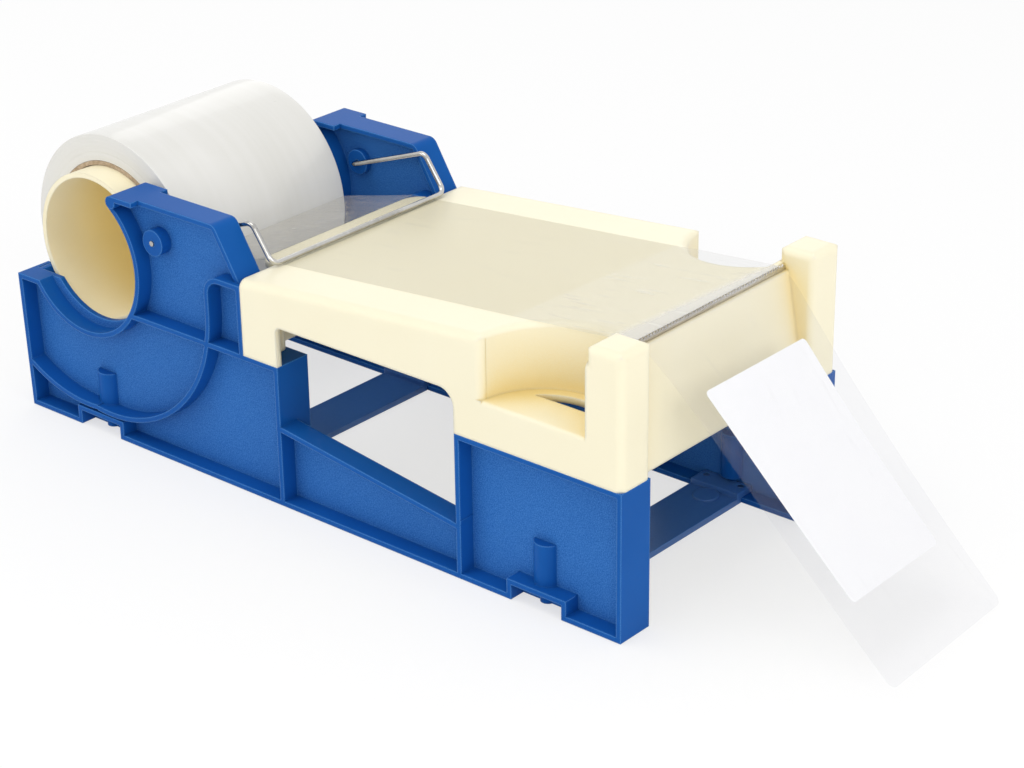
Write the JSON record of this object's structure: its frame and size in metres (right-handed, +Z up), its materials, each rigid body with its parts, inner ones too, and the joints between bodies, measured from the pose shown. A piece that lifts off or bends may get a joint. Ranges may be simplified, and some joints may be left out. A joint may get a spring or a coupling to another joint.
{
  "type": "tape dispenser",
  "caption": "Bench dispenser for wide clear label tape, with ribbed side panels, a sloping table cover with finger recesses and a cutter, a hinged wire bail and a roll on a loose hub tube.",
  "frame": {"origin": "On the bench plane under the base, midway between the four screw holes in the panels' bosses", "axes": "+X to the front, where the film hangs down; +Y to the right side panel; +Z up"},
  "size_m": [0.4897, 0.1548, 0.1401],
  "materials": {
    "panel_blue": "fine matte grain",
    "cover_cream": "satin moulded plastic",
    "tube_cream": "satin extruded plastic",
    "core_paper": "plain paper board",
    "film_roll": "wound clear film",
    "film_clear": "clear film",
    "label_white": "plain white paper",
    "wire_steel": "bright plated wire",
    "blade_steel": "bare steel strip",
    "screw_steel": "bare steel"
  },
  "bodies": {
    "base": {"left_side_panel": "panel_blue", "right_side_panel": "panel_blue", "front_cross_bar": "panel_blue", "rear_cross_bar": "panel_blue", "front_bar_screws": "screw_steel", "rear_bar_screws": "screw_steel", "top_cover": "cover_cream", "cover_screws": "screw_steel", "cutter_blade": "blade_steel", "tape_web": "film_clear", "tape_strip": "film_clear", "tape_tail": "film_clear", "label": "label_white"},
    "hub": {"hub_tube": "tube_cream"},
    "roll": {"paper_core": "core_paper", "tape_roll": "film_roll"},
    "bail": {"wire_bail": "wire_steel"}
  },
  "joints": [
    {"name": "roll_lift", "type": "slide", "parent": "base", "child": "hub", "axis": [-0.6691, 0, 0.7431], "range_m": [0, 0.12], "deforming": ["tape_web"]},
    {"name": "roll_spin", "type": "hinge", "parent": "hub", "child": "roll", "pos_m": [-0.142, 0, 0.0871], "axis": [0, 1, 0], "continuous": true},
    {"name": "bail_pivot", "type": "hinge", "parent": "base", "child": "bail", "pos_m": [-0.0898, 0, 0.1069], "axis": [0, -1, 0], "range_deg": [0, 85]}
  ]
}
